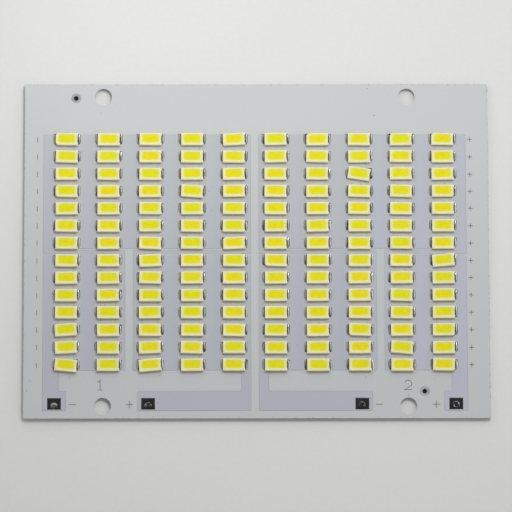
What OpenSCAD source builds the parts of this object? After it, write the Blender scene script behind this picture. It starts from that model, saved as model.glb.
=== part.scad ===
// LED board: an aluminium-core printed board that carries two circuits of
// surface-mount LEDs, each circuit ten groups in series of seven in parallel.
// Sizes are in millimetres. The back of the plate lies on Z = 0 with its middle
// at the origin, X runs along the board and the LEDs face +Z.

/* [Board] */
// Length of the board, along X
board_l = 110; // [106:1:140]
// Width of the board, along Y
board_w = 80; // [80:1:120]
// Rounding of the board's corners
corner_r = 0.5; // [0.2:0.1:3]
// Thickness of the aluminium plate
plate_t = 1; // [0.6:0.1:3]
// Thickness of the insulating layer
dielectric_t = 0.1; // [0.05:0.01:0.2]
// Thickness of the copper foil
copper_t = 0.035; // [0.02:0.005:0.07]
// Thickness of the white solder mask
mask_t = 0.03; // [0.015:0.005:0.05]
// How far the print lies off the middle of the plate, along X
print_shift_x = -0.42; // [-1:0.05:1]
// How far the print lies off the middle of the plate, along Y
print_shift_y = -0.4; // [-1:0.05:1]

/* [Screw holes] */
// Diameter of the screw holes
hole_d = 4; // [3:0.1:4.4]
// Distance between the screw holes along X
hole_pitch_x = 72; // [70:0.5:76]
// Distance from the middle of a screw hole to the board's long edge
hole_edge = 3; // [2.5:0.1:4]
// How far the screw holes lie off the middle of the plate, along X
hole_shift_x = -0.35; // [-0.5:0.05:0.5]
// How far the screw holes lie off the middle of the plate, along Y
hole_shift_y = -0.1; // [-0.5:0.05:0.5]

/* [LED array] */
// LEDs in parallel, in each half of a column
rows_half = 7; // [3:1:7]
// Distance between the rows
row_pitch = 4.15; // [3.8:0.05:4.3]
// Distance between the columns
col_pitch = 9.9; // [8.9:0.05:10.5]
// Scatter of the LEDs about their places
scatter = 0.05; // [0:0.01:0.1]
// Scatter of the LEDs' angles, in degrees
scatter_deg = 0.9; // [0:0.1:1.5]

/* [LED housing] */
// Length of the white housing
led_l = 5.35; // [5.1:0.05:5.6]
// Width of the housing
led_w = 3; // [2.7:0.05:3.3]
// Height of the housing
led_h = 0.9; // [0.75:0.05:1.2]
// Lean of the housing's sides, in degrees
draft_deg = 4; // [1:1:8]
// Depth of the recess in the plus end
recess_d = 0.12; // [0.1:0.02:0.3]
// Room beside the terminal in that recess
recess_side = 0.1; // [0.05:0.05:0.25]
// Length of the reflector cup's mouth
cup_l = 4.5; // [4:0.05:4.6]
// Width of the cup's mouth
cup_w = 2.3; // [1.9:0.05:2.4]
// Corner rounding of the cup's mouth
cup_r = 0.6; // [0.55:0.05:0.9]
// How far the cup's walls lean in, from mouth to floor
cup_lean = 0.5; // [0.2:0.05:0.55]
// How far the yellow fill stays below the rim
fill_drop = 0.04; // [0.01:0.01:0.1]
// Size of a chipped corner
chip = 0.45; // [0.2:0.05:0.6]

/* [LED terminals and die] */
// Length over both terminals
tab_span = 5.7; // [5.65:0.05:6]
// Width of the terminals
tab_w = 2; // [1.6:0.05:2.1]
// Thickness of the terminals
lead_t = 0.2; // [0.15:0.01:0.3]
// Gap between the two terminals inside the housing
lead_gap = 0.3; // [0.2:0.05:0.4]
// Where that gap lies, from the middle of the LED towards its plus end
lead_split = 0.5; // [0.3:0.05:0.8]
// Length of the die
die_l = 0.8; // [0.6:0.05:1]
// Width of the die
die_w = 0.5; // [0.3:0.05:0.6]
// Thickness of the die
die_h = 0.15; // [0.1:0.01:0.2]
// How far the die lies in from the end of the minus terminal
die_inset = 0.1; // [0.05:0.05:0.3]

/* [LED pads] */
// Length over an LED's two pads
pad_span = 6.55; // [6.3:0.05:7]
// How far the LEDs lie off the middle of their pads, towards the minus end
led_shift = 0; // [0:0.01:0.2]
// Length of a pad
pad_l = 1.45; // [1.3:0.05:1.8]
// Width of a pad
pad_w = 2.2; // [2.1:0.05:2.5]
// Copper round a pad, under the mask
pad_border = 0.1; // [0.05:0.05:0.2]
// How far the LEDs stand above the mask
stand_off = 0.02; // [0.01:0.01:0.05]

/* [Copper] */
// Copper beyond the middle of the outer columns
edge_x = 5.5; // [4:0.05:5.8]
// Gap between the circuits, and between a circuit's two lower groups
split_gap = 1.9; // [1:0.1:2.5]
// Width of the trace that links the upper and lower rows
link_w = 0.85; // [0.5:0.05:1.2]
// Thin gap on both sides of that trace
line_gap = 0.4; // [0.2:0.05:0.45]
// Diameter of the fiducial dots
fiducial_d = 1.1; // [0.8:0.1:1.5]
// Diameter of the mask opening round a fiducial dot
fiducial_clear_d = 2.35; // [1.8:0.05:3]
// Upper fiducial dot, from the screw hole in line with it
fiducial_left = 6.4; // [4:0.1:10]
// Lower fiducial dot, from the wire pad's copper beside it
fiducial_right = 4.65; // [2:0.05:6]
// Lower fiducial dot, from the print's lower edge
fiducial_lower = 6.8; // [6:0.1:8]

/* [Wire pads] */
// Length of a wire pad, along X
wire_pad_l = 3.3; // [2.4:0.1:4]
// Width of a wire pad, along Y
wire_pad_w = 2.8; // [2.4:0.1:3.6]
// Distance between the two wire pads of a circuit
feed_pitch = 22.1; // [18:0.1:30]
// Distance from the wire pads' copper to the print's lower edge
feed_edge = 2.25; // [1.5:0.05:4]
// Width of the wire pads' copper, along Y
feed_w = 4.65; // [4:0.05:5.2]
// Copper on both sides of an outer wire pad
outer_border = 1.1; // [0.3:0.05:1.5]
// Copper past an inner wire pad
inner_border = 0.83; // [0.3:0.05:1.5]
// Copper below the wire pads
lower_border = 0.25; // [0.1:0.05:0.4]
// Thickness of the tin on a wire pad
tin_t = 0.06; // [0.05:0.01:0.1]
// Diameter of the solder lump on a wire pad
lump_d = 2.1; // [1.2:0.1:2.3]
// Height of the solder lump
lump_h = 0.4; // [0.2:0.05:0.8]
// How far the lump lies below the middle of its pad
lump_drop = 0.2; // [0:0.05:0.2]

/* [Hidden] */
$fn = 48;
cut = 0.5;                  // how far a cutter runs past the face that it cuts
cols_side = 5;              // columns in a circuit
outer_cols = 2;             // of which the outer lower group has this many
hole_pitch_y = board_w - 2 * hole_edge;
cols = 2 * cols_side;
rows = 2 * rows_half;
scatter_seed = 11;
lump_steps = 14;            // bands of a solder lump's profile

// LEDs that were placed crooked: row from the top, column from the left, degrees
crooked = [
    [1, 5, 2.8], [2, 1, -2], [2, 7, -1.8], [3, 8, -8.5], [4, 4, -4.2], [4, 8, -2], [4, 9, -1.5],
    [6, 7, 2], [7, 3, -2.3], [7, 5, 1.7], [8, 3, 2.5], [8, 6, -1.5], [8, 10, 5], [9, 3, -1.9],
    [10, 9, -1.6], [12, 1, 3.5], [12, 5, -1.7], [12, 8, -2], [13, 1, 2.4], [13, 3, 2.2],
    [13, 4, -1.4], [13, 9, -4.2], [14, 1, -5.2], [14, 3, 5], [14, 10, -1.5]
];

// Housings with a chipped corner: row, column, and the corner's side along X and Y
chipped = [
    [1, 1, -1, 1], [1, 1, -1, -1], [4, 1, -1, 1], [4, 1, -1, -1], [1, 7, -1, 1], [1, 9, -1, 1],
    [1, 10, -1, 1], [7, 5, -1, 1], [8, 6, -1, -1], [12, 8, -1, -1], [4, 10, 1, -1], [12, 10, 1, -1],
    [14, 10, 1, -1]
];

// Levels of the stack
z_dielectric = plate_t;
z_copper = z_dielectric + dielectric_t;
z_pad = z_copper + copper_t;
film_t = mask_t + stand_off;            // solder under a terminal
z_led = z_pad + film_t;

// LED package
side_lean = led_h * tan(draft_deg);
cup_d = led_h - lead_t;
fill_d = cup_d - fill_drop;
recess_w = tab_w + 2 * recess_side;
minus_lead_x = lead_split - lead_gap / 2;   // inner ends of the terminals
plus_lead_x = lead_split + lead_gap / 2;

// Copper plan, for the left circuit: columns and fields count from the outer end
under_gap = pad_span - 2 * pad_l - 2 * pad_border;          // bare strip under an LED
x_outer = (cols_side - 0.5) * col_pitch + edge_x;
x_inner = split_gap / 2;
y_block = (rows_half - 0.5) * row_pitch + pad_w / 2 + pad_border;
y_mid = link_w / 2 + line_gap;
y_feed = board_w / 2 - feed_edge - feed_w;
outer_pad_x = x_outer - outer_border - wire_pad_l / 2;
inner_pad_x = outer_pad_x - feed_pitch;
wire_pad_y = -(y_feed + feed_w - lower_border - wire_pad_w / 2);
outer_feed_l = wire_pad_l + 2 * outer_border;               // copper of an outer wire pad, along X

// Fiducial dots, from the middle of the print
fiducials = [
    [-hole_pitch_x / 2 - fiducial_left, hole_pitch_y / 2],
    [x_outer - outer_feed_l - fiducial_right, fiducial_lower - board_w / 2]
];

function column_node(kind, c) = str(kind, "_col_", c < 10 ? "0" : "", c);

// Place and turn of the LED in row r from the top and column c from the left
function led_x(c) = (c - (cols + 1) / 2) * col_pitch;
function led_y(r) = ((rows + 1) / 2 - r) * row_pitch;
wander = rands(-1, 1, 3 * rows * cols, scatter_seed);
function wander_at(r, c, k) = wander[3 * ((r - 1) * cols + c - 1) + k];
function led_turn(r, c) =
    let (named = [for (entry = crooked) if (entry[0] == r && entry[1] == c) entry[2]])
    len(named) > 0 ? named[0] : scatter_deg * wander_at(r, c, 2);

// Middle of a column of the left circuit, and the sides of its copper fields
function side_x(k) = -(cols_side - 0.5 - k) * col_pitch;
function field_left(k) = k == 0 ? -x_outer : side_x(k - 1) + under_gap / 2;
function field_right(k) = k == cols_side ? -x_inner : side_x(k) - under_gap / 2;

module printed() translate([print_shift_x, print_shift_y]) children();

module on_pads(r, c) printed() translate([led_x(c), led_y(r), z_pad]) children();

module on_led(r, c)
    printed()
    translate([led_x(c) - led_shift + scatter * wander_at(r, c, 0),
               led_y(r) + scatter * wander_at(r, c, 1), z_led])
    rotate(led_turn(r, c))
    children();

// Flat outlines

// Rectangle about the origin with true round corners
module rounded_plan(l, w, r) {
    square([l - 2 * r, w], center = true);
    square([l, w - 2 * r], center = true);
    for (sx = [-1, 1], sy = [-1, 1])
        translate([sx * (l / 2 - r), sy * (w / 2 - r)])
        intersection() {
            circle(r);
            translate([min(sx, 0) * 2 * r, min(sy, 0) * 2 * r]) square(2 * r);
        }
}

module board_plan()
    difference() {
        rounded_plan(board_l, board_w, corner_r);
        for (sx = [-1, 1], sy = [-1, 1])
            translate([sx * hole_pitch_x / 2 + hole_shift_x, sy * hole_pitch_y / 2 + hole_shift_y])
            circle(d = hole_d);
    }

// Rectangle from its left, lower, right and upper sides, made larger all round by grow
module field(left, lower, right, upper, grow)
    translate([left - grow, lower - grow]) square([right - left + 2 * grow, upper - lower + 2 * grow]);

// The eleven nets of the left circuit
module circuit_plan(grow) {
    split_x = (side_x(outer_cols - 1) + side_x(outer_cols)) / 2;
    // Fields between neighbouring columns, upper and lower
    for (k = [1:cols_side - 1]) {
        field(field_left(k), y_mid, field_right(k), y_block, grow);
        if (k != outer_cols) field(field_left(k), -y_block, field_right(k), -y_mid, grow);
    }
    // Link from the outer lower group to the outer end of the upper row
    field(field_left(0), -link_w / 2, field_right(0), y_block, grow);
    field(field_left(0), -link_w / 2, split_x - split_gap / 2, link_w / 2, grow);
    field(field_left(outer_cols), -y_block, split_x - split_gap / 2, link_w / 2, grow);
    // Link from the inner end of the upper row to the inner lower group
    field(field_left(cols_side), -link_w / 2, field_right(cols_side), y_block, grow);
    field(split_x + split_gap / 2, -link_w / 2, field_right(cols_side), link_w / 2, grow);
    field(split_x + split_gap / 2, -y_block, field_right(outer_cols), link_w / 2, grow);
    // Outer feed, down to its wire pad
    field(field_left(0), -(y_feed + feed_w), field_right(0), -y_mid, grow);
    field(-x_outer, -(y_feed + feed_w), -x_outer + outer_feed_l, -y_feed, grow);
    // Inner feed, down and along to its wire pad
    field(field_left(cols_side), -(y_feed + feed_w), -x_inner, -y_mid, grow);
    field(-inner_pad_x - wire_pad_l / 2 - inner_border, -(y_feed + feed_w), -x_inner, -y_feed, grow);
}

module copper_plan(grow) {
    circuit_plan(grow);
    mirror([1, 0]) circuit_plan(grow);
}

module wire_pad_plan() square([wire_pad_l, wire_pad_w], center = true);

// Everything that the mask leaves bare
module opening_plan() {
    for (r = [1:rows], c = [1:cols], side = [-1, 1])
        translate([led_x(c) + side * (pad_span - pad_l) / 2, led_y(r)])
        square([pad_l, pad_w], center = true);
    for (side = [-1, 1], x = [outer_pad_x, inner_pad_x])
        translate([side * x, wire_pad_y]) wire_pad_plan();
    for (spot = fiducials) translate(spot) circle(d = fiducial_clear_d);
}

// Board

module base_plate() color("silver") linear_extrude(plate_t) board_plan();

module dielectric()
    color("gainsboro") translate([0, 0, z_dielectric]) linear_extrude(dielectric_t) board_plan();

module copper_circuit(side)
    color("peru")
    translate([0, 0, z_copper])
    linear_extrude(copper_t)
    printed()
    mirror([side, 0])
    circuit_plan(0);

module fiducial_dots()
    color("dimgray")
    printed()
    for (spot = fiducials) translate([spot[0], spot[1], z_copper]) cylinder(d = fiducial_d, h = copper_t);

// One skin over board and copper: it steps up round each copper field by its own thickness
module solder_mask()
    color("white")
    difference() {
        translate([0, 0, z_copper]) {
            linear_extrude(mask_t)
                difference() {
                    board_plan();
                    printed() opening_plan();
                }
            linear_extrude(copper_t + mask_t)
                printed()
                difference() {
                    copper_plan(mask_t);
                    opening_plan();
                }
        }
        translate([0, 0, z_copper - cut]) linear_extrude(cut + copper_t) printed() copper_plan(0);
    }

// Tinned pad with a round lump of solder, whose profile is half a cosine wave
module wire_pad(x)
    color("dimgray")
    printed()
    translate([x, wire_pad_y, z_pad]) {
        linear_extrude(tin_t) wire_pad_plan();
        translate([0, -lump_drop, 0])
            rotate_extrude()
            polygon(concat(
                [[0, 0], [lump_d / 2, 0]],
                [for (i = [lump_steps:-1:0])
                    [lump_d / 2 * i / lump_steps, tin_t + lump_h * (1 + cos(180 * i / lump_steps)) / 2]]
            ));
    }

// LED package, about its own middle, with its underside on Z = 0 and the plus terminal towards +X

// Block whose four sides lean in by lean at the top
module leaning_block(l, w, h, lean)
    intersection() {
        rotate([90, 0, 0])
            linear_extrude(w, center = true)
            polygon([[-l / 2, 0], [l / 2, 0], [l / 2 - lean, h], [lean - l / 2, h]]);
        rotate([90, 0, 90])
            linear_extrude(l, center = true)
            polygon([[-w / 2, 0], [w / 2, 0], [w / 2 - lean, h], [lean - w / 2, h]]);
    }

// Inside of the reflector cup up to a height above its floor: flat leaning walls and conical corners
module cup(height) {
    floor_l = cup_l - 2 * cup_lean;
    floor_w = cup_w - 2 * cup_lean;
    floor_r = cup_r - cup_lean;
    lean = cup_lean * height / cup_d;
    straight_l = cup_l - 2 * cup_r;
    straight_w = cup_w - 2 * cup_r;
    translate([0, 0, lead_t]) {
        rotate([90, 0, 0])
            linear_extrude(straight_w, center = true)
            polygon([[-floor_l / 2, 0], [floor_l / 2, 0],
                     [floor_l / 2 + lean, height], [-floor_l / 2 - lean, height]]);
        rotate([90, 0, 90])
            linear_extrude(straight_l, center = true)
            polygon([[-floor_w / 2, 0], [floor_w / 2, 0],
                     [floor_w / 2 + lean, height], [-floor_w / 2 - lean, height]]);
        for (quarter = [0:3])
            translate([(quarter == 0 || quarter == 3 ? 1 : -1) * straight_l / 2,
                       (quarter < 2 ? 1 : -1) * straight_w / 2, 0])
            rotate(90 * quarter)
            rotate_extrude(angle = 90)
            polygon([[0, 0], [floor_r, 0], [floor_r + lean, height], [0, height]]);
    }
}

module minus_lead()
    translate([-tab_span / 2, -tab_w / 2, 0]) cube([tab_span / 2 + minus_lead_x, tab_w, lead_t]);

module plus_lead() translate([plus_lead_x, -tab_w / 2, 0]) cube([tab_span / 2 - plus_lead_x, tab_w, lead_t]);

module housing(r, c)
    difference() {
        leaning_block(led_l, led_w, led_h, side_lean);
        cup(cup_d + cut);
        minus_lead();
        plus_lead();
        translate([led_l / 2 - recess_d, -recess_w / 2, -cut])
            cube([recess_d + cut, recess_w, led_h + 2 * cut]);
        for (entry = chipped)
            if (entry[0] == r && entry[1] == c)
                translate([entry[2] * led_l / 2, entry[3] * led_w / 2, -cut])
                rotate(45)
                linear_extrude(led_h + 2 * cut)
                square(chip * sqrt(2), center = true);
    }

module die() translate([minus_lead_x - die_inset - die_l, -die_w / 2, lead_t]) cube([die_l, die_w, die_h]);

module fill()
    difference() {
        cup(fill_d);
        die();
    }

// Room that an LED and its terminals take above the solder
module led_room() linear_extrude(led_h) square([max(tab_span, led_l), led_w], center = true);

// Solder on one pad: a film under the terminal, and a hollow-faced fillet over the pad's last toe_run
module solder_blank(toe_run) {
    fillet_h = film_t + lead_t;
    face_h = fillet_h - mask_t;
    face_r = (toe_run * toe_run + face_h * face_h) / (2 * face_h);
    rotate([90, 0, 0])
        linear_extrude(pad_w, center = true)
        difference() {
            translate([pad_span / 2 - pad_l, 0]) square([pad_l, fillet_h]);
            translate([pad_span / 2, mask_t + face_r]) circle(face_r);
        }
}

// Columns of LEDs

module housings(c) color("ivory") for (r = [1:rows]) on_led(r, c) housing(r, c);

module phosphor(c) color("gold") for (r = [1:rows]) on_led(r, c) fill();

module leads(c)
    color("lightgray")
    for (r = [1:rows])
        on_led(r, c) {
            minus_lead();
            plus_lead();
        }

module solder(c)
    color("darkgray")
    for (r = [1:rows], side = [0, 1])
        difference() {
            on_pads(r, c)
                mirror([side, 0, 0])
                solder_blank((pad_span - tab_span) / 2 + (1 - 2 * side) * led_shift);
            on_led(r, c) led_room();
        }

module led_dies() color("skyblue") for (r = [1:rows], c = [1:cols]) on_led(r, c) die();

base_plate();
dielectric();
copper_circuit(0);  // copper_circuit_1
copper_circuit(1);  // copper_circuit_2
fiducial_dots();
solder_mask();
wire_pad(-outer_pad_x);  // wire_pad_1_minus
wire_pad(-inner_pad_x);  // wire_pad_1_plus
wire_pad(inner_pad_x);  // wire_pad_2_minus
wire_pad(outer_pad_x);  // wire_pad_2_plus
led_dies();
for (c = [1:cols]) {
    housings(c);
    phosphor(c);
    leads(c);
    solder(c);
}
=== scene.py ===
import math
from functools import partial
import bpy
import numpy as np
from mathutils import Euler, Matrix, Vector


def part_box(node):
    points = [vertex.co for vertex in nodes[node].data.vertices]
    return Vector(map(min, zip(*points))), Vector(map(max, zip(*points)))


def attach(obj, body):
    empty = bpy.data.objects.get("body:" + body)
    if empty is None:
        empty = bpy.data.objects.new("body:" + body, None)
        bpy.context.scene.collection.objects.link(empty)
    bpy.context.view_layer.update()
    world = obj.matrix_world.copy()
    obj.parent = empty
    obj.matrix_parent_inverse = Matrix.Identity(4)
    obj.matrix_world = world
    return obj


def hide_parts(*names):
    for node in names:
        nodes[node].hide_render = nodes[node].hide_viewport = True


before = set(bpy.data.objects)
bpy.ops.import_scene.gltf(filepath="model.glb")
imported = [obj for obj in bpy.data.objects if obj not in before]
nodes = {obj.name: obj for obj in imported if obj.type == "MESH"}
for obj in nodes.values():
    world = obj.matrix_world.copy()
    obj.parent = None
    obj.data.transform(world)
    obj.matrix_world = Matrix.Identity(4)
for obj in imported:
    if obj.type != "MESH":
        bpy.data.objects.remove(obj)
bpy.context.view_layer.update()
scene = bpy.context.scene
scene.view_settings.view_transform = "Standard"
mm = 0.001  # sizes are in millimetres where nothing else is said
rng = np.random.default_rng(seed=41)


# LED places, read from the CAD nodes

# Corners of a CAD node, each once, in millimetres, and its triangles as numbers of those corners
def cadMesh(name):
    mesh = nodes[name].data
    flat = np.empty(len(mesh.vertices) * 3, np.float32)
    mesh.vertices.foreach_get("co", flat)
    places = np.round(flat.reshape(-1, 3).astype(float) / mm, 3)
    corners, number = np.unique(places, axis=0, return_inverse=True)
    loops = np.empty(len(mesh.loops), np.int32)
    mesh.loops.foreach_get("vertex_index", loops)
    return corners, number.ravel()[loops].reshape(-1, 3)


# Corners of each separate solid of a CAD node: the lowest corner number spreads over the triangles until it settles
def cadSolids(name):
    corners, triangles = cadMesh(name)
    label = np.arange(len(corners))
    while True:
        lowest = label.copy()
        np.minimum.at(lowest, triangles, lowest[triangles].min(1)[:, None])
        if (lowest == label).all():
            return [corners[label == start] for start in np.unique(label)]
        label = lowest


# Names of the nodes of one kind, from the first column to the last
def columnNodes(kind):
    return sorted(name for name in nodes if name.startswith(kind + "_col_"))


# Solids of a column's node in pairs, from the top row down, the minus end's first
def rowPairs(name):
    solids = sorted(cadSolids(name), key=lambda solid: -(solid[:, 1].min() + solid[:, 1].max()))
    return [sorted(solids[k:k + 2], key=lambda solid: solid[:, 0].min()) for k in range(0, len(solids), 2)]


# Middle and turn of one LED: the long axis of its terminals' corners, and the middle of their reach along and across
def ledFrame(corners):
    plan = corners[:, :2]
    spread = plan - plan.mean(0)
    axis = np.linalg.eigh(spread.T @ spread)[1][:, 1]
    axis = axis * np.sign(axis[0])
    across = np.array([-axis[1], axis[0]])
    middles = [((plan @ way).min() + (plan @ way).max()) / 2 for way in (axis, across)]
    centre = middles[0] * axis + middles[1] * across
    return [*centre, math.atan2(axis[1], axis[0])]


ledFrames = np.array([[ledFrame(np.concatenate(pair)) for pair in rowPairs(name)] for name in columnNodes("leads")])
leds = ledFrames.reshape(-1, 3)  # x, y and turn, column by column from the top
ledCount = len(leds)
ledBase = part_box("leads_col_01")[0].z / mm  # underside of the terminals
ledTint = rng.random(ledCount)
print("LEDs found:", ledCount)


# Finishes

noiseSpan = (0.3, 0.7)  # where most values of a noise lie
narrowSpan = (0.35, 0.65)  # a part of that, for tones that are clearer apart


# Linear colour from the 0 to 255 values that a colour picker shows, by the curve of screens
def paint(red, green, blue):
    shown = np.array([red, green, blue]) / 255
    linear = np.where(shown <= 0.04045, shown / 12.92, ((shown + 0.055) / 1.055) ** 2.4)
    return (*linear.tolist(), 1.0)


# Node with its settings, and its inputs by name or number: a socket is linked, a value is set
def addNode(tree, kind, inputs=None, **settings):
    node = tree.nodes.new("ShaderNode" + kind)
    for key, value in settings.items():
        setattr(node, key, value)
    for key, value in (inputs or {}).items():
        if isinstance(value, bpy.types.NodeSocket):
            tree.links.new(value, node.inputs[key])
        else:
            node.inputs[key].default_value = value
    return node


# One step of arithmetic on sockets or numbers
def mathNode(tree, operation, *values, clamp=False):
    return addNode(tree, "Math", dict(enumerate(values)), operation=operation, use_clamp=clamp).outputs[0]


# Value carried from one span to another and held inside it, in a straight line or along an S-curve
def spanNode(tree, value, start, stop, low=0.0, high=1.0, curve="LINEAR"):
    return addNode(tree, "MapRange", {
        "Value": value, "From Min": start, "From Max": stop, "To Min": low, "To Max": high},
        interpolation_type=curve).outputs[0]


# X, Y and Z of the Object coordinates
def placeParts(tree):
    return addNode(tree, "SeparateXYZ", {"Vector": addNode(tree, "TexCoord").outputs["Object"]}).outputs


# Colour ramp from (position, colour) stops
def rampNode(tree, factor, stops, interpolation="LINEAR"):
    node = addNode(tree, "ValToRGB", {"Fac": factor})
    stops, ramp = list(stops), node.color_ramp
    ramp.interpolation = interpolation
    while len(ramp.elements) < len(stops):
        ramp.elements.new(0.5)
    for element, (position, colour) in zip(ramp.elements, stops):
        element.position = position
        element.color = colour
    return node.outputs["Color"]


# Blend of two colours by a factor; inputs 0, 6 and 7 are a Mix node's factor and colours
def mixColour(tree, factor, first, second, blend="MIX"):
    return addNode(tree, "Mix", {0: factor, 6: first, 7: second}, data_type="RGBA", blend_type=blend).outputs[2]


# Material with its Principled shader, which takes the fixed values
def startMaterial(name, **values):
    material = bpy.data.materials.new(name)
    material.use_nodes = True
    shader = material.node_tree.nodes["Principled BSDF"]
    for key, value in values.items():
        shader.inputs[key.replace("_", " ")].default_value = value
    return material, material.node_tree, shader


# Colour, and where given roughness and relief, onto the shader
def linkShader(tree, shader, colour, rough=None, relief=None, bump=None):
    tree.links.new(colour, shader.inputs["Base Color"])
    if rough is not None:
        tree.links.new(rough, shader.inputs["Roughness"])
    if relief is not None:
        node = addNode(tree, "Bump", {"Height": relief, "Strength": bump[0], "Distance": bump[1] * mm})
        tree.links.new(node.outputs[0], shader.inputs["Normal"])


# Node group of plain numbers, with start values for its inputs
def startGroup(name, inputs, outputs):
    group = bpy.data.node_groups.new(name, "ShaderNodeTree")
    for socketName, value in inputs.items():
        socket = group.interface.new_socket(socketName, in_out="INPUT", socket_type="NodeSocketFloat")
        socket.default_value = value
    for socketName in outputs:
        group.interface.new_socket(socketName, in_out="OUTPUT", socket_type="NodeSocketFloat")
    return group, group.nodes.new("NodeGroupInput"), group.nodes.new("NodeGroupOutput")


# Outputs of a shared effect with these inputs
def useGroup(tree, group, **values):
    return addNode(tree, "Group", values, node_tree=group).outputs


# Shared effects

# Grain: a soft noise and a fine noise on Object coordinates, each from 0 to 1
def makeGrainGroup():
    group, given, result = startGroup("surfaceGrain", dict(Patch=60.0, Fine=2500.0), ["Cloud", "Speckle"])
    place = addNode(group, "TexCoord").outputs["Object"]
    for size, name, detail in (("Patch", "Cloud", 3.0), ("Fine", "Speckle", 2.0)):
        noise = addNode(group, "TexNoise", {"Vector": place, "Scale": given.outputs[size], "Detail": detail})
        group.links.new(noise.outputs[0], result.inputs[name])
    return group


ledSizes = dict(
    length=5.35, width=3.0, height=0.9,  # white housing
    lean=0.063,  # how far its sides lean in over the height
    cornerRound=0.12, cornerSteps=4, edgeRound=0.05, lipRound=0.04,
    recessDepth=0.12, recessWidth=1.7,  # in the plus end
    cupLength=4.5, cupWidth=2.3, cupRound=0.6, cupLean=0.5, floor=0.2,
    chip=0.45, bite=0.05,  # legs of a broken corner, and the roughness of the break
    terminalReach=2.85,  # from the LED's middle to the end of a terminal
    goldLength=4.3, goldWidth=2.04,  # reach of the deep yellow's fading
    goldLiftForShade=0.13, goldPower=6.0,  # how far it lies above the cup's middle, as painted shade on the upper cup wall and painted light on the lower, and how square it is
)


# LED pattern: Reach is 0 in the middle of the yellow and 1 where it has faded, as a squared-off ellipse lifted
# towards the upper side as painted shade; Corner grows towards the housing's corners, and Tint is one random value
# for each LED
def makeLedGroup():
    group, _, result = startGroup("ledPattern", {}, ["Reach", "Corner", "Tint"])
    calc = partial(mathNode, group)
    place = addNode(group, "Attribute", attribute_name="ledPlace").outputs["Vector"]
    parts = addNode(group, "SeparateXYZ", {"Vector": place}).outputs
    power = ledSizes["goldPower"]
    shares, corners = [], []
    axes = [("X", 0.0, "goldLength", "length"), ("Y", ledSizes["goldLiftForShade"], "goldWidth", "width")]
    for axis, lift, gold, size in axes:
        lifted = calc("ABSOLUTE", calc("SUBTRACT", parts[axis], lift))
        shares.append(calc("POWER", calc("DIVIDE", lifted, ledSizes[gold] / 2), power))
        corners.append(calc("DIVIDE", calc("ABSOLUTE", parts[axis]), ledSizes[size] / 2))
    reach = calc("POWER", calc("ADD", *shares), 1 / power)
    corner = calc("POWER", calc("MULTIPLY", *corners), 2.0, clamp=True)
    for socket, name in ((reach, "Reach"), (corner, "Corner"), (parts["Z"], "Tint")):
        group.links.new(socket, result.inputs[name])
    return group


wearLook = dict(width=0.35 * mm, scale=1700.0, ragged=(0.56, 0.64))


# Worn rim: 1 on ragged spots within Width of the board's outline, which is a plain rectangle
def makeRimGroup():
    group, given, result = startGroup("wornRim", dict(Width=wearLook["width"], Scale=wearLook["scale"]), ["Worn"])
    calc = partial(mathNode, group)
    place = addNode(group, "TexCoord").outputs["Object"]
    parts = addNode(group, "SeparateXYZ", {"Vector": place}).outputs
    low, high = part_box("base_plate")
    gaps = [calc("SUBTRACT", (high[k] - low[k]) / 2, calc("ABSOLUTE", parts[k])) for k in (0, 1)]
    rim = calc("SUBTRACT", 1.0, calc("DIVIDE", calc("MINIMUM", *gaps), given.outputs["Width"]), clamp=True)
    noise = addNode(group, "TexNoise", {"Vector": place, "Scale": given.outputs["Scale"], "Detail": 3.0}).outputs[0]
    ragged = spanNode(group, noise, *wearLook["ragged"])
    group.links.new(calc("MULTIPLY", rim, ragged), result.inputs["Worn"])
    return group


haloLook = dict(halfSize=(2.1 * mm, 1.35 * mm), width=1.9 * mm)


# Halo: 1 close to an LED and 0 a Width away; the nearest place in the array is the rounded column and row number
def makeHaloGroup():
    group, given, result = startGroup("ledHalo", dict(Width=haloLook["width"]), ["Near"])
    calc = partial(mathNode, group)
    parts = placeParts(group)
    columnX, rowY = ledFrames[:, :, 0].mean(1), ledFrames[:, :, 1].mean(0)
    squares = []
    for axis, places, half in zip("XY", (columnX, rowY), haloLook["halfSize"]):
        last = len(places) - 1.0
        step = (places[-1] - places[0]) / last * mm
        number = calc("DIVIDE", calc("SUBTRACT", parts[axis], places[0] * mm), step)
        nearest = calc("ROUND", calc("MINIMUM", calc("MAXIMUM", number, 0.0), last))
        away = calc("ABSOLUTE", calc("MULTIPLY", calc("SUBTRACT", number, nearest), step))
        squares.append(calc("POWER", calc("MAXIMUM", calc("SUBTRACT", away, half), 0.0), 2.0))
    distance = calc("SQRT", calc("ADD", *squares))
    near = spanNode(group, distance, 0.0, given.outputs["Width"], 1.0, 0.0, curve="SMOOTHSTEP")
    group.links.new(near, result.inputs["Near"])
    return group


surfaceGrain = makeGrainGroup()
ledPattern = makeLedGroup()
wornRim = makeRimGroup()
ledHalo = makeHaloGroup()

# In the looks below, patch and fine are the scales of the soft and the fine noise, and bump is strength and depth

plateLook = dict(
    dark=paint(176, 178, 180), light=paint(214, 215, 216),
    cloudDark=paint(170, 172, 176), cloudLight=paint(222, 222, 220), cloudShare=0.25, patch=90.0,
    stretch=(60.0, 5200.0, 900.0),  # of the streaks, which run along X
    polish=(0.28, 0.46), bump=(0.25, 0.01),
)


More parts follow.
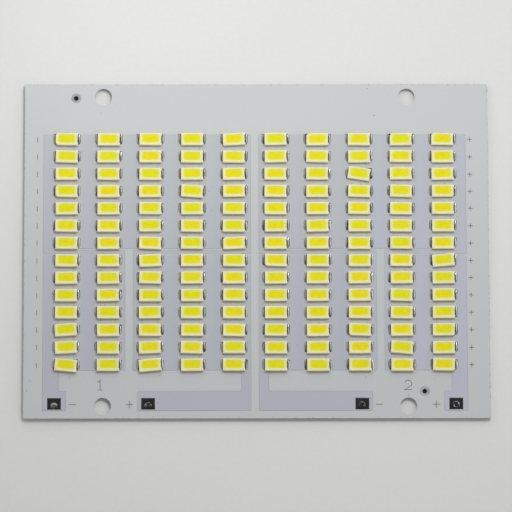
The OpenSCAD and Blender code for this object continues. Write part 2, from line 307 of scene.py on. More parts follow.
# Drawn aluminium: streaks of noise give the tone, the polish and the relief, with soft clouds in the tone
def makeAluminium():
    material, tree, shader = startMaterial("plateAluminium", Metallic=1.0)
    place = addNode(tree, "TexCoord").outputs["Object"]
    drawn = addNode(tree, "Mapping", {"Vector": place, "Scale": plateLook["stretch"]}).outputs[0]
    streak = addNode(tree, "TexNoise", {"Vector": drawn, "Scale": 1.0, "Detail": 4.0}).outputs[0]
    cloud = useGroup(tree, surfaceGrain, Patch=plateLook["patch"])["Cloud"]
    tone = rampNode(tree, streak, zip(noiseSpan, (plateLook["dark"], plateLook["light"])))
    clouds = rampNode(tree, cloud, zip(narrowSpan, (plateLook["cloudDark"], plateLook["cloudLight"])))
    tone = mixColour(tree, plateLook["cloudShare"], tone, clouds)
    rough = spanNode(tree, streak, 0.0, 1.0, *plateLook["polish"])
    linkShader(tree, shader, tone, rough, streak, plateLook["bump"])
    return material


maskLook = dict(
    bare=paint(198, 201, 203), overCopper=paint(184, 187, 197),
    bareLitTop=paint(203, 206, 206), overCopperLitTop=paint(193, 196, 199),  # painted light: lighter towards the top edge, which the lamps light more
    paler=(-8 * mm, 32 * mm),
    lavender=paint(189, 193, 207), lavenderMost=0.8, lavenderX=(20 * mm, 31 * mm),
    clouds=(0.3, 0.55), patch=45.0,  # of lavender
    shadeAndStain=paint(200, 198, 191), mostShadeAndStain=0.7,  # painted shade between the LEDs, partly a flux stain
    worn=paint(150, 152, 152),
    shoulder=paint(168, 171, 178), shoulderPatch=300.0,
    speck=(0.98, 1.015), fine=2600.0, bump=(0.06, 0.01),
    climb=(1.14 * mm, 1.155 * mm),  # heights between which the mask climbs onto copper
)


# Colour with painted shade, partly a flux stain, mixed in, the more the closer to an LED
def shadeAndSoilByLeds(tree, colour):
    near = useGroup(tree, ledHalo)["Near"]
    return mixColour(tree, mathNode(tree, "MULTIPLY", near, maskLook["mostShadeAndStain"]), colour, maskLook["shadeAndStain"])


# White mask: greyer where copper lies under it, which its height tells, with painted light making it lighter towards
# the top edge, painted shade that is partly a flux stain close to the LEDs, faint clouds of tint, fine specks and a
# worn rim
def makeMask():
    material, tree, shader = startMaterial("whiteMask", Roughness=0.45, Specular_IOR_Level=0.3)
    grain = useGroup(tree, surfaceGrain, Patch=maskLook["patch"], Fine=maskLook["fine"])
    parts = placeParts(tree)
    climb = spanNode(tree, parts["Z"], *maskLook["climb"])
    # painted light: share of the lighter top colours, growing towards the top edge
    upper = spanNode(tree, parts["Y"], *maskLook["paler"])
    bare = mixColour(tree, upper, maskLook["bare"], maskLook["bareLitTop"])
    over = mixColour(tree, upper, maskLook["overCopper"], maskLook["overCopperLitTop"])
    colour = mixColour(tree, climb, bare, over)
    aside = spanNode(tree, parts["X"], *maskLook["lavenderX"], 0.0, maskLook["lavenderMost"])
    cloud = spanNode(tree, grain["Cloud"], *maskLook["clouds"])
    bluish = mathNode(tree, "MULTIPLY", mathNode(tree, "MULTIPLY", aside, cloud), climb)
    colour = shadeAndSoilByLeds(tree, mixColour(tree, bluish, colour, maskLook["lavender"]))
    colour = mixColour(tree, useGroup(tree, wornRim)["Worn"], colour, maskLook["worn"])
    speck = spanNode(tree, grain["Speckle"], *noiseSpan, *maskLook["speck"])
    colour = mixColour(tree, 1.0, colour, speck, blend="MULTIPLY")
    linkShader(tree, shader, colour, relief=grain["Speckle"], bump=maskLook["bump"])
    return material


# Edge of a copper field, where the mask is thin and the copper darkens it
def makeShoulder():
    material, tree, shader = startMaterial("maskShoulder", Roughness=0.45, Specular_IOR_Level=0.3)
    cloud = useGroup(tree, surfaceGrain, Patch=maskLook["shoulderPatch"])["Cloud"]
    colour = mixColour(tree, cloud, maskLook["shoulder"], maskLook["overCopper"])
    # painted shade, partly a flux stain, close to the LEDs
    linkShader(tree, shader, shadeAndSoilByLeds(tree, colour))
    return material


housingLook = dict(
    # painted glow: light from the yellow fill scattered into the housing, strongest beside the cup, over its own
    # cream
    besideCup=paint(240, 236, 156), midway=paint(241, 237, 178), outside=paint(238, 233, 192),
    corner=paint(235, 232, 222),
    glow=(0.95, 1.35), glowMiddle=0.35,  # reach over which the glow fades, and its midway share
    footShade=0.7, footHeight=0.4 * mm,  # painted shade low on the walls, partly soiling by flux where it stands
    patch=400.0, clouds=(0.94, 1.03), fine=4000.0, bump=(0.1, 0.01),
)


# Moulded housing: its own cream, yellower beside the cup by a painted glow of light from the fill, whiter at the
# corners, and darker at the foot by painted shade that is partly flux
def makeHousing():
    material, tree, shader = startMaterial("whiteHousing", Roughness=0.5, Specular_IOR_Level=0.35)
    led = useGroup(tree, ledPattern)
    fading = spanNode(tree, led["Reach"], *housingLook["glow"])
    cream = rampNode(tree, fading, [
        (0.0, housingLook["besideCup"]), (housingLook["glowMiddle"], housingLook["midway"]),
        (1.0, housingLook["outside"])])
    colour = mixColour(tree, led["Corner"], cream, housingLook["corner"])
    base = ledBase * mm
    # painted shade, partly flux: darker towards the foot
    foot = spanNode(tree, placeParts(tree)["Z"], base, base + housingLook["footHeight"], housingLook["footShade"])
    colour = mixColour(tree, 1.0, colour, foot, blend="MULTIPLY")
    grain = useGroup(tree, surfaceGrain, Patch=housingLook["patch"], Fine=housingLook["fine"])
    shade = spanNode(tree, grain["Cloud"], *noiseSpan, *housingLook["clouds"])
    colour = mixColour(tree, 1.0, colour, shade, blend="MULTIPLY")
    linkShader(tree, shader, colour, relief=grain["Speckle"], bump=housingLook["bump"])
    return material


fillLook = dict(
    stops=[(0.0, paint(239, 222, 26)), (0.5, paint(236, 225, 30)), (0.74, paint(230, 224, 56)),
           (0.88, paint(233, 228, 104)), (1.0, paint(239, 235, 158))],  # colour by reach
    patch=900.0, blur=0.16, hueBlur=0.3,
    hue=(0.493, 0.510), value=(1.03, 0.95),  # differences from LED to LED
    bump=(0.15, 0.03),
)


# Yellow fill: deep gold in the middle, lemon round it and pale over the cup's wall, each LED with its own tint
def makeFill():
    material, tree, shader = startMaterial("yellowFill", Roughness=0.35, Specular_IOR_Level=0.3)
    led = useGroup(tree, ledPattern)
    cloud = useGroup(tree, surfaceGrain, Patch=fillLook["patch"])["Cloud"]
    blur = mathNode(tree, "MULTIPLY", mathNode(tree, "SUBTRACT", cloud, 0.5), fillLook["blur"])
    reach = mathNode(tree, "ADD", led["Reach"], blur)
    yellow = rampNode(tree, reach, fillLook["stops"], interpolation="EASE")
    tint = spanNode(tree, led["Tint"], 0.0, 1.0, *fillLook["hue"])
    hue = mathNode(tree, "ADD", tint, mathNode(tree, "MULTIPLY", blur, fillLook["hueBlur"]))
    value = spanNode(tree, led["Tint"], 0.0, 1.0, *fillLook["value"])
    tuned = addNode(tree, "HueSaturation", {"Hue": hue, "Value": value, "Color": yellow}).outputs[0]
    linkShader(tree, shader, tuned, relief=cloud, bump=fillLook["bump"])
    return material


metalBase = dict(span=narrowSpan, Metallic=1.0)
grainedLooks = dict(
    dielectric=dict(
        name="insulatingLayer", dark=paint(154, 158, 158), light=paint(180, 184, 185),
        patch=700.0, fine=5000.0, bump=(0.2, 0.01), Roughness=0.6),
    ink=dict(name="printInk", dark=paint(92, 95, 98), light=paint(128, 131, 134), patch=1500.0, Roughness=0.6),
    copper=dict(
        metalBase, name="copperFoil", dark=paint(196, 130, 96), light=paint(222, 158, 120),
        patch=300.0, fine=4000.0, polish=(0.3, 0.45), bump=(0.1, 0.02)),
    tinned=dict(
        metalBase, name="tinnedCopper", dark=paint(140, 140, 138), light=paint(170, 170, 166),
        patch=900.0, fine=5000.0, polish=(0.06, 0.14), bump=(0.08, 0.02)),
    padTin=dict(
        metalBase, name="padTin", dark=paint(166, 164, 164), light=paint(196, 195, 196),
        patch=500.0, fine=3500.0, polish=(0.06, 0.14), bump=(0.1, 0.02)),
    solder=dict(
        metalBase, name="jointSolder", dark=paint(184, 183, 178), light=paint(227, 226, 221),
        patch=900.0, fine=2600.0, polish=(0.05, 0.14), bump=(0.25, 0.02)),
    plating=dict(
        metalBase, name="leadPlating", dark=paint(176, 174, 160), light=paint(206, 204, 190),
        patch=600.0, fine=4000.0, polish=(0.2, 0.36), bump=(0.15, 0.02)),
    die=dict(
        metalBase, name="dieChip", dark=paint(96, 116, 140), light=paint(128, 150, 176),
        patch=900.0, fine=6000.0, polish=(0.2, 0.3), bump=(0.1, 0.02)),
)


# Finish of two tones in soft clouds; a fine grain gives the polish, from smoothest to roughest, and the relief
def makeGrained(name, dark, light, patch, fine=0.0, span=noiseSpan, polish=None, bump=None, **fixed):
    material, tree, shader = startMaterial(name, **fixed)
    grain = useGroup(tree, surfaceGrain, Patch=patch, Fine=fine)
    colour = rampNode(tree, grain["Cloud"], zip(span, (dark, light)))
    rough = spanNode(tree, grain["Speckle"], *noiseSpan, *polish) if polish else None
    linkShader(tree, shader, colour, rough, grain["Speckle"] if bump else None, bump)
    return material


finishes = dict(
    aluminium=makeAluminium(), mask=makeMask(), shoulder=makeShoulder(), housing=makeHousing(), fill=makeFill(),
    **{finish: makeGrained(**look) for finish, look in grainedLooks.items()})
print("finishes made:", len(finishes))

# CAD nodes that stay take their finish by the start of their name
keptFinish = dict(
    base_plate="aluminium", dielectric="dielectric", copper="copper", fiducial="tinned",
    solder_mask="mask", leads="plating", led_dies="die")
for name, node in nodes.items():
    for start, finish in keptFinish.items():
        if name.startswith(start):
            node.data.materials.clear()
            node.data.materials.append(finishes[finish])


# Meshes

# Quads between neighbouring rings of a closed outline, turned outwards when the rings run up or inwards
def bandQuads(rings, stations):
    ring = np.arange(rings - 1)[:, None] * stations
    here = np.arange(stations)[None]
    there = (here + 1) % stations
    return np.stack([ring + here, ring + there, ring + stations + there, ring + stations + here], -1).reshape(-1, 4)


# Quads of an open grid of rows and columns, facing up when rows run along X and columns along Y
def gridQuads(rows, columns):
    row = np.arange(rows - 1)[:, None] * columns
    here = np.arange(columns - 1)[None]
    return np.stack([row + here, row + columns + here, row + columns + here + 1, row + here + 1], -1).reshape(-1, 4)


# Faces of a four-sided bar carried along a path: the band round it and its two ends
def barFaces(stations):
    last = 4 * (stations - 1)
    caps = np.array([[3, 2, 1, 0], [last, last + 1, last + 2, last + 3]])
    return np.concatenate([bandQuads(stations, 4), caps])


# Faces of stacked rings: the bands between them, the last ring as a lid and the first, turned over, as the underside
def stackFaces(rings, stations):
    first = np.arange(stations)
    return bandQuads(rings, stations), first + (rings - 1) * stations, first[::-1]


# Faces of a height field on a grid whose flat copy lies under it: the grid, the skirt round its edge and the floor
def slabFaces(rows, columns):
    edge = np.concatenate([
        np.arange(columns), np.arange(1, rows) * columns + columns - 1,
        (rows - 1) * columns + np.arange(columns - 2, -1, -1), np.arange(rows - 2, 0, -1) * columns])
    after = np.roll(edge, -1)
    below = rows * columns
    skirt = np.stack([edge, after, after + below, edge + below], -1)
    return gridQuads(rows, columns), skirt, (edge + below)[None]


# The same faces for each copy of a shape
def repeatFaces(faces, copies, pointsEach):
    faces = np.atleast_2d(faces)
    step = np.arange(copies)[:, None, None] * pointsEach
    return (faces[None] + step).reshape(-1, faces.shape[1])


# Mitre at a bend: the sum of the normals before and after it, over one plus their dot product
def mitreAt(before, after):
    return (before + after) / (1 + (before * after).sum(1, keepdims=True))


# Profile of (reach, height) pairs carried along a path, with the pairs along the given axis
def carryProfile(path, mitre, profile, axis):
    lines = [np.concatenate([path + reach * mitre, np.full((len(path), 1), height)], 1) for reach, height in profile]
    return np.stack(lines, axis)


# New object in the scene
def addObject(name, data):
    thing = bpy.data.objects.new(name, data)
    scene.collection.objects.link(thing)
    return thing


# New piece from points in millimetres and groups of faces
def addPiece(name, points, faceGroups, finish, replaced=(), ledPlace=None, sharpAngle=None):
    mesh = bpy.data.meshes.new(name)
    faces = [face for group in faceGroups for face in np.atleast_2d(group).tolist()]
    mesh.from_pydata((points.reshape(-1, 3) * mm).tolist(), [], faces)
    if ledPlace is not None:
        attribute = mesh.attributes.new("ledPlace", "FLOAT_VECTOR", "POINT")
        attribute.data.foreach_set("vector", ledPlace.astype(np.float32).ravel())
    mesh.materials.append(finishes[finish])
    mesh.shade_smooth()
    if sharpAngle is not None:
        mesh.set_sharp_from_angle(angle=math.radians(sharpAngle))
    mesh.update()
    piece = addObject(name, mesh)
    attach(piece, "root")
    if replaced:
        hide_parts(*replaced)
    print(name, "faces:", len(mesh.polygons))


# LEDs

# From LEDs' own frames to the board: turn by the LED's angle, then move to its middle
def toBoard(local):
    x0, y0, turn = leds.T[:, :, None]
    x = x0 + local[..., 0] * np.cos(turn) - local[..., 1] * np.sin(turn)
    y = y0 + local[..., 0] * np.sin(turn) + local[..., 1] * np.cos(turn)
    return np.stack([x, y, ledBase + local[..., 2]], -1)


# One piece for all the LEDs, from rings in their own frames; each point keeps its x and y there and the LED's tint
def addLedPiece(name, rings, finish, replaced, sharpAngle):
    local = np.concatenate(rings, 1)
    faces = [repeatFaces(part, ledCount, local.shape[1]) for part in stackFaces(len(rings), rings[0].shape[1])]
    tint = np.broadcast_to(ledTint[:, None], local.shape[:2])
    ledPlace = np.stack([local[..., 0], local[..., 1], tint], -1)
    addPiece(name, toBoard(local), faces, finish, replaced, ledPlace, sharpAngle)


# Plan laid at one height, for every LED
def atHeight(plan, height):
    plan = np.broadcast_to(plan, (ledCount, *np.shape(plan)[-2:]))
    return np.concatenate([plan, np.full((*plan.shape[:2], 1), height)], -1)


cornerSigns = np.array([[1, 1], [-1, 1], [-1, -1], [1, -1]])  # anticlockwise
housingHalf = np.array([ledSizes["length"], ledSizes["width"]]) / 2


# Angles at the stations of four corners: a quarter turn each, in equal steps, anticlockwise from +X
def cornerAngles():
    return np.radians(90) * (np.arange(4)[:, None] + np.linspace(0, 1, ledSizes["cornerSteps"])[None])


# Four rounded corners of a rectangle, as quarter circles
def roundedCorners(half, radius):
    angle = cornerAngles()
    circle = radius * np.stack([np.cos(angle), np.sin(angle)], -1)
    return ((cornerSigns * (half - radius))[:, None] + circle).reshape(-1, 2)


# Corners that the CAD housing lacks are broken: none of its points lies near the full corner
def findChips():
    full = toBoard(atHeight(cornerSigns * housingHalf, 0.0))[..., :2]
    gaps = []
    for name, corners in zip(columnNodes("housings"), np.split(full, len(ledFrames))):
        gaps.append(np.linalg.norm(cadMesh(name)[0][:, :2] - corners[:, :, None], axis=-1).min(-1))
    return np.concatenate(gaps) > ledSizes["chip"] / 2


# Plan of every housing at one inset: rounded corners, or a straight break with a bite in it,
# then the recess in the plus end
def housingPlan(inset, broken, bite):
    half = housingHalf - inset
    whole = roundedCorners(half, ledSizes["cornerRound"])
    square = roundedCorners(half, 0.0)
    angle = cornerAngles().ravel()
    loss = ledSizes["chip"] * np.stack([np.sin(angle) ** 2, np.cos(angle) ** 2], -1)
    chipped = square - np.sign(square) * (loss + bite)
    plan = np.where(np.repeat(broken, ledSizes["cornerSteps"], axis=1)[..., None], chipped, whole[None])
    side, back = ledSizes["recessWidth"] / 2, half[0] - ledSizes["recessDepth"]
    recess = np.array([[half[0], -side], [back, -side], [back, side], [half[0], side]])
    return np.concatenate([plan, np.broadcast_to(recess, (ledCount, 4, 2))], 1)


# Stations of the cup's outline: the corner's signs, and angles in degrees on its quarter circle, closer
# together at the plus end, where the last four face the recess
cupStations = [
    ((1, 1), (50, 62, 76, 90)), ((-1, 1), (90, 120, 150, 180)), ((-1, -1), (180, 210, 240, 270)),
    ((1, -1), (270, 284, 298, 310, 318, 348)), ((1, 1), (12, 42))]


# Cup outline at one shrink: quarter circles whose middles stay and whose radius shrinks
def cupPlan(shrink):
    signs = np.array([corner for corner, degrees in cupStations for _ in degrees])
    angle = np.radians([degree for _, degrees in cupStations for degree in degrees])
    middle = np.array([ledSizes["cupLength"], ledSizes["cupWidth"]]) / 2 - ledSizes["cupRound"]
    return signs * middle + (ledSizes["cupRound"] - shrink) * np.stack([np.cos(angle), np.sin(angle)], -1)


# Housings: rings that climb the leaning side, round the top edge, cross the rim and go down the cup
def makeHousings():
    broken = findChips()
    bite = ledSizes["bite"] * rng.random((ledCount, 4 * ledSizes["cornerSteps"], 1))
    top, lean, edge, lip = (ledSizes[key] for key in ("height", "lean", "edgeRound", "lipRound"))
    halfway = 0.3 * edge  # the middle of a quarter circle lies this far inside its corner
    outside = [(0.0, 0.0), (lean * (1 - edge / top), top - edge), (lean + halfway, top - halfway), (lean + edge, top)]
    inside = [(-lip, top), (0.0, top - lip), (ledSizes["cupLean"], ledSizes["floor"])]
    rings = [atHeight(housingPlan(inset, broken, bite), height) for inset, height in outside]
    rings += [atHeight(cupPlan(shrink), height) for shrink, height in inside]
    addLedPiece("ledHousings", rings, "housing", columnNodes("housings"), sharpAngle=40)
    print("broken corners:", int(broken.sum()))


fillSizes = dict(
    drop=0.04,  # level of the fill below the housing's top
    underLip=0.75,  # how far its edge goes inside the lip's rounding, as a share of that
    aboveFloor=0.01,
    rings=[((1.0, 1.0), 0.025), ((0.95, 0.9), 0.004), ((0.8, 0.7), 0.0)],  # shares of the edge's plan, and rise
)


# Fills: rings up the cup's wall to the creep at its top, then down to level rings towards the middle
def makeFills():
    level = ledSizes["height"] - fillSizes["drop"]
    edge = cupPlan(-fillSizes["underLip"] * ledSizes["lipRound"])
    rings = [atHeight(cupPlan(ledSizes["cupLean"]), ledSizes["floor"] + fillSizes["aboveFloor"])]
    rings += [atHeight(edge * shares, level + rise) for shares, rise in fillSizes["rings"]]
    addLedPiece("ledFills", rings, "fill", columnNodes("phosphor"), sharpAngle=50)


makeHousings()
makeFills()


# Solder joints

jointLook = dict(
    film=0.045,  # solder under a terminal
    crest=(0.15, 0.25), crestFade=0.8,  # height beside the terminal's end, and its loss at the pad's sides
    crestGap=0.002,  # from the terminal's end to the crest
    reach=(0.72, 1.0), reachFade=0.55,  # how far out the hump goes, as a share of the way, and its loss
    toe=0.035, toeFade=0.8,  # height of the flat rim at the pad's end, and its loss at the corners
    slump=1.2,  # above 1 the hump at a plus end is fuller
    lopsided=0.6,  # how much more one side of a joint may hold
    bulge=0.3,  # how far a joint swells over the mask at the upper end of its pad
    cut=0.45,  # rounding of a plus end's upper corner, as a share of the way
    ripple=0.035, limits=(0.02, 0.27),  # unevenness, and the least and the most height
    across=[-1.0, -0.78, -0.3, 0.3, 0.78, 1.0], fall=[0.0, 0.35, 0.7, 1.0],  # stations across and outwards
)
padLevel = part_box("wire_pad_1_minus")[0].z / mm
endSide = np.array([-1, 1])[None, :, None]  # minus end, plus end


# Pads' boxes (low x and y, high x and y) of both joints of each LED, the minus end first
def readPads():
    pairs = [pair for name in columnNodes("solder") for pair in rowPairs(name)]
    return np.array([[[*end.min(0)[:2], *end.max(0)[:2]] for end in pair] for pair in pairs])


# Inner and outer ends of the pads, and y at shares across them, from -1 at the lower end to 1 at the upper,
# which lies a bulge past the pad
def padGrid(across, bulge=0.0):
    lowX, lowY, highX, highY = np.moveaxis(readPads(), -1, 0)[..., None]
    inner, outer = np.where(endSide > 0, lowX, highX), np.where(endSide > 0, highX, lowX)
    return inner, outer, lowY + (highY + bulge - lowY) * (across + 1) / 2


# Joints: along each pad a thin film up to the terminal's end, a crest there, then down to the toe, by half a cosine
# wave at the plus end and a parabola at the minus end; across the pad the crest falls off as a fourth power and the
# hump's reach as a third, and each joint leans its own way; the toe thins to its corners as a third power, and the
# plus end's upper corner is cut back by an eighth
def makeJoints():
    across = np.array(jointLook["across"])
    inner, outer, y = padGrid(across, jointLook["bulge"])
    x0, y0, turn = leds.T[:, :, None, None]
    end = x0 + (endSide * ledSizes["terminalReach"] - (y - y0) * np.sin(turn)) / np.cos(turn)
    crest = rng.uniform(*jointLook["crest"], (ledCount, 2, 1))
    lean = 1 + jointLook["lopsided"] * rng.uniform(-1, 1, (ledCount, 2, 1)) * across
    edge = 1 - jointLook["crestFade"] * np.abs(across) ** 4
    reach = rng.uniform(*jointLook["reach"], (ledCount, 2, 1)) * (1 - jointLook["reachFade"] * np.abs(across) ** 3)
    film, toe = np.full_like(y, jointLook["film"]), jointLook["toe"]
    rows = [(inner + 0 * y, film), (end, film)]
    for share in np.array(jointLook["fall"]):
        wave = np.where(endSide > 0, (1 + np.cos(np.pi * share ** jointLook["slump"])) / 2, 1 - share ** 2)
        ripple = jointLook["ripple"] * rng.uniform(-1, 1, y.shape) * np.sin(np.pi * share)
        height = toe + (crest * lean * edge - toe) * wave + ripple
        x = end + jointLook["crestGap"] * endSide + (outer - end) * share * reach
        rows.append((x, np.clip(height, *jointLook["limits"])))
    thinning = np.abs(np.where(endSide > 0, np.minimum(across, 0), across)) ** 3
    cut = np.where(endSide > 0, jointLook["cut"] * np.maximum(across, 0) ** 8, 0.0)
    rows.append((outer - (outer - end) * cut, toe * (1 - jointLook["toeFade"] * thinning) + 0 * y))
    surface = np.stack([np.stack([x, y, padLevel + z], -1) for x, z in rows], 2)
    bottom = surface.copy()
    bottom[..., 2] = padLevel
    points = np.concatenate([surface, bottom], 2).reshape(ledCount * 2, -1, 3)
    step = np.arange(len(points))[:, None, None] * points.shape[1]
    flip = (np.arange(len(points)) % 2 == 0)[:, None, None]  # the minus ends run the other way along X
    faces = []
    for part in slabFaces(len(rows), len(across)):
        whole = part[None] + step
        faces.append(np.where(flip, whole[..., ::-1], whole).reshape(-1, part.shape[1]))
    addPiece("solderJoints", points, faces, "solder", columnNodes("solder"), sharpAngle=50)


makeJoints()


# Wire pads

padLook = dict(
    tin=0.06, skirt=0.02, skirtWidth=0.25,  # height of the tin, and its thinning at the pad's edge
    wobble=0.003, waves=(2.1, 2.6), shift=0.7,
    least=0.01, grid=(34, 30),
    # lumps of solder: domes by centre, radii, height and turn, and arches by centre, radius, width, height and foot
    lumps=dict(
        wire_pad_1_minus=dict(  # a smooth cap
            domes=[((0.02, -0.5), (1.12, 0.95), 0.17, 0), ((0.02, -0.85), (0.4, 0.35), -0.06, 0)]),
        wire_pad_1_plus=dict(  # a forked one
            domes=[((-0.5, -0.35), (0.95, 0.34), 0.08, 62), ((0.56, -0.4), (0.9, 0.32), 0.07, -62),
                   ((0.12, 0.12), (0.36, 0.3), 0.06, 0)]),
        wire_pad_2_minus=dict(  # a thin arch
            arches=[((-0.12, -0.4), 0.66, 0.16, 0.055, -0.95)],
            domes=[((0.36, -0.56), (0.28, 0.26), 0.05, 0), ((-0.2, -0.42), (0.32, 0.26), 0.035, 0),
                   ((-0.75, 0.35), (0.3, 0.25), 0.02, 0)]),
        wire_pad_2_plus=dict(  # a swirl
            arches=[((-0.1, -0.35), 0.64, 0.22, 0.06, -1.3)],
            domes=[((0.26, -0.26), (0.42, 0.44), 0.055, 0), ((-0.42, -0.5), (0.3, 0.3), -0.035, 0)]),
    ),
)


# Dome: half a cosine wave over an ellipse, turned by an angle
def dome(x, y, centre, radii, height, degrees):
    turn = math.radians(degrees)
    along = (x - centre[0]) * math.cos(turn) + (y - centre[1]) * math.sin(turn)
    aside = (y - centre[1]) * math.cos(turn) - (x - centre[0]) * math.sin(turn)
    reach = np.clip(np.hypot(along / radii[0], aside / radii[1]), 0, 1)
    return height * (1 + np.cos(np.pi * reach)) / 2


# Arch: a ridge with a bell-shaped profile along a circle, which fades out downwards and ends at the foot
def arch(x, y, centre, radius, width, height, foot, fade=0.4):
    ring = np.hypot(x - centre[0], y - centre[1])
    return height * np.exp(-((ring - radius) / width) ** 2) * np.clip((y - foot) / fade, 0, 1)


# Wire pad: height over a grid on the pad's rectangle, tin that thins to the edge by a square root, a faint wobble
# of waves, and the sum of the lump's arches and domes
def makeWirePad(name, arches=(), domes=()):
    low, high = (np.array(corner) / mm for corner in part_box(name))
    columns, rows = padLook["grid"]
    x = np.linspace(low[0], high[0], columns)[:, None] + np.zeros((1, rows))
    y = np.linspace(low[1], high[1], rows)[None] + np.zeros((columns, 1))
    fromX, fromY = x - (low[0] + high[0]) / 2, y - (low[1] + high[1]) / 2
    edge = np.minimum(np.minimum(x - low[0], high[0] - x), np.minimum(y - low[1], high[1] - y))
    thinning = np.clip(edge / padLook["skirtWidth"], 0, 1) ** 0.5
    tin = padLook["skirt"] + (padLook["tin"] - padLook["skirt"]) * thinning
    waveX, waveY = padLook["waves"]
    wobble = padLook["wobble"] * np.sin(waveX * fromX + padLook["shift"] * low[0]) * np.cos(waveY * fromY)
    lump = [arch(fromX, fromY, *sizes) for sizes in arches] + [dome(fromX, fromY, *sizes) for sizes in domes]
    height = np.clip(tin + wobble + sum(lump), padLook["least"], high[2] - low[2])
    surface = np.stack([x, y, low[2] + height], -1).reshape(-1, 3)
    bottom = surface * [1, 1, 0] + [0, 0, low[2]]
    points = np.concatenate([surface, bottom])
    addPiece(name + "_lump", points, slabFaces(columns, rows), "padTin", [name], sharpAngle=60)


for padName, lump in padLook["lumps"].items():
    makeWirePad(padName, **lump)


# The mask's edges

maskThick = 0.03
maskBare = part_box("copper_circuit_1")[0].z / mm + maskThick  # top of the mask beside the copper
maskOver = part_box("solder_mask")[1].z / mm  # and over it
shoulderLook = dict(
    start=-0.09, brow=0.032, foot=0.035,  # outwards from the copper's edge
    lift=0.0005, sink=0.02)  # above the mask's faces, and below the lower one


# Outlines of a flat CAD node's top faces, anticlockwise: the edges that only one triangle has, followed from end
# to end, without the points on straight runs
def topOutlines(name, flatness=0.001, straightness=1e-6):
    unique, triangles = cadMesh(name)
    top = triangles[(unique[triangles, 2] > unique[:, 2].max() - flatness).all(1)]
    edges = np.concatenate([top[:, [0, 1]], top[:, [1, 2]], top[:, [2, 0]]])
    key = edges[:, 0] * len(unique) + edges[:, 1]
    back = edges[:, 1] * len(unique) + edges[:, 0]
    follow = dict(edges[~np.isin(key, back)].tolist())
    loops = []
    while follow:
        loop = [next(iter(follow))]
        while loop[-1] in follow:
            loop.append(follow.pop(loop[-1]))
        path = unique[loop[:-1], :2]
        ahead = np.roll(path, -1, 0) - path
        behind = path - np.roll(path, 1, 0)
        bend = np.abs(ahead[:, 0] * behind[:, 1] - ahead[:, 1] * behind[:, 0])
        loops.append(path[bend > straightness])
    return loops


# Shoulders: where the mask comes down off the copper, a thin brow and a slope carried round each copper outline
# with mitred corners
def makeShoulders():
    start, brow, foot, lift, sink = shoulderLook.values()
    profile = [(start, maskBare - sink), (foot, maskBare - sink), (foot, maskBare + lift),
               (brow, maskOver + lift), (start, maskOver + lift)]
    points, quads, total = [], [], 0
    for path in topOutlines("copper_circuit_1") + topOutlines("copper_circuit_2"):
        ahead = np.roll(path, -1, 0) - path
        ahead = ahead / np.linalg.norm(ahead, axis=1, keepdims=True)
        outward = np.stack([ahead[:, 1], -ahead[:, 0]], -1)
        mitre = mitreAt(np.roll(outward, 1, 0), outward)
        points.append(carryProfile(path, mitre, profile, 0).reshape(-1, 3))
        count = len(points[-1])
        quads.append(bandQuads(len(profile) + 1, len(path)) % count + total)  # the last ring is the first again
        total += count
    addPiece("maskShoulders", np.concatenate(points), [np.concatenate(quads)], "shoulder")


makeShoulders()

rimLook = dict(
    lowerDepth=0.42, upperDepth=0.1,  # how far the mask covers a pad's lower and upper corners
    overlap=0.03, stations=11)


# Mask over the corners of the joints' pads: a four-sided bar along each pad's end, whose edge leaves that end
# by a fourth power of the place across
def makePadRims():
    across = np.linspace(-1, 1, rimLook["stations"])
    _, outer, y = padGrid(across)
    depth = np.where(across < 0, rimLook["lowerDepth"], rimLook["upperDepth"])
    edge = outer - endSide * depth * across ** 4
    far = outer + endSide * rimLook["overlap"] + 0 * y
    west, east = np.minimum(edge, far), np.maximum(edge, far)
    top = maskOver + shoulderLook["lift"]
    profile = [(east, padLevel), (west, padLevel), (west, top), (east, top)]
    points = np.stack([np.stack([x, y, np.full_like(y, z)], -1) for x, z in profile], 3)
    points = points.reshape(ledCount * 2, -1, 3)
    faces = repeatFaces(barFaces(rimLook["stations"]), len(points), points.shape[1])
    addPiece("padRims", points, [faces], "mask", sharpAngle=30)


makePadRims()


# Print

printLook = dict(
    stroke=0.18, thick=0.012,  # width and height of an ink line
    topShare=0.8, sink=0.004,  # its top's share of the width, and how deep it sits in the mask
    tickOff=6.96, tickLong=1.25,  # minus marks, left of the first column
    plusOff=6.5, plusLong=1.15,  # plus marks, right of the last column
    signLong=1.75, signDrop=-0.2,  # signs beside the wire pads
    signOff=dict(wire_pad_1_minus=4.32, wire_pad_1_plus=-4.38, wire_pad_2_minus=4.02, wire_pad_2_plus=-4.68),
    digitTall=2.25, digitTop=5.5,  # numbers of the circuits, and their tops above the wire pads' middle
    oneAt=-37.0, oneFlag=(-0.5, -0.5), oneStem=0.1, oneFoot=(-0.45, 0.65),
    twoAt=35.6, twoBow=(160, -35, 8), twoRadii=(0.85, 0.8), twoFoot=(-0.85, 0.9),  # bow in degrees, and its points
    # specks of dirt: place and size
    specks=[
        (-36.96, 32.95, 0.12), (-11.25, 14.28, 0.2), (-10.78, 9.6, 0.16), (-10.54, 15.12, 0.12),
        (-44.07, -30.28, 0.22), (-23.31, -36.27, 0.26), (-53.5, -31.05, 0.14), (-54.2, -33.41, 0.14),
        (27.97, 32.43, 0.3), (26.48, 38.96, 0.16), (9.51, -22.62, 0.16), (41.69, -30.57, 0.16),
        (25.62, -30.3, 0.2), (-22.85, -29.8, 0.2), (35.63, -34.45, 0.2)],
    speckLean=0.3,  # crookedness, as a share of the size
    residue=34, residueSize=(0.1, 0.2),  # specks of flux along the LEDs' upper sides
    residueAside=2.4, residueUp=1.62, residueSpread=0.3,
)


